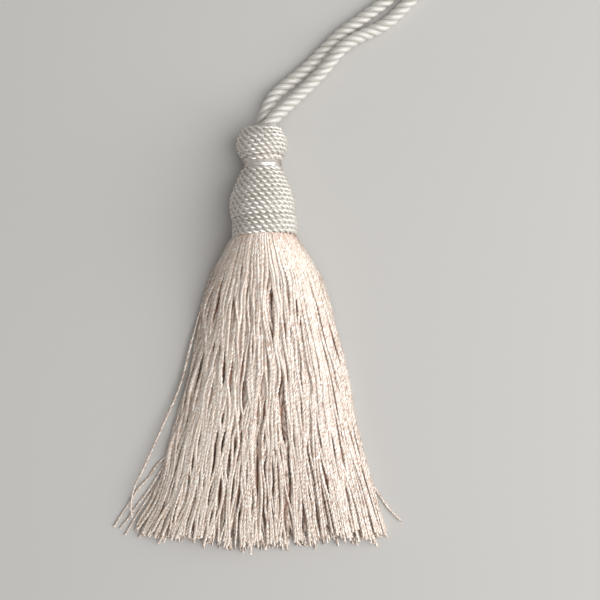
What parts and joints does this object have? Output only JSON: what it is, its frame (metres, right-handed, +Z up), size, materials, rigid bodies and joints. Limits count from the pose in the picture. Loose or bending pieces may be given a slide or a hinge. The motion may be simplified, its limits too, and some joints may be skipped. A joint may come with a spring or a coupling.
{
  "type": "key tassel",
  "caption": "Key tassel lying flat: a yarn-wound gourd-shaped head with a bound neck, a full skirt of cut twisted strands, and a loop of twisted cord to hang it by.",
  "frame": {"origin": "middle of the box round head, binding and skirt, on the surface they lie on", "axes": "+Y from the skirt's cut ends to the head, +X to the right seen from above, +Z up from the surface"},
  "size_m": [0.0945, 0.1594, 0.016],
  "materials": {
    "winding_yarn": "lustrous twisted viscose yarn, ivory with a silver sheen",
    "skirt_yarn": "lustrous twisted viscose yarn, pale champagne",
    "cord_yarn": "satin twisted cord, ivory white"
  },
  "bodies": {
    "root": {"wound_head": "winding_yarn", "neck_binding": "winding_yarn", "skirt": "skirt_yarn", "hanging_cord": "cord_yarn"}
  },
  "joints": []
}
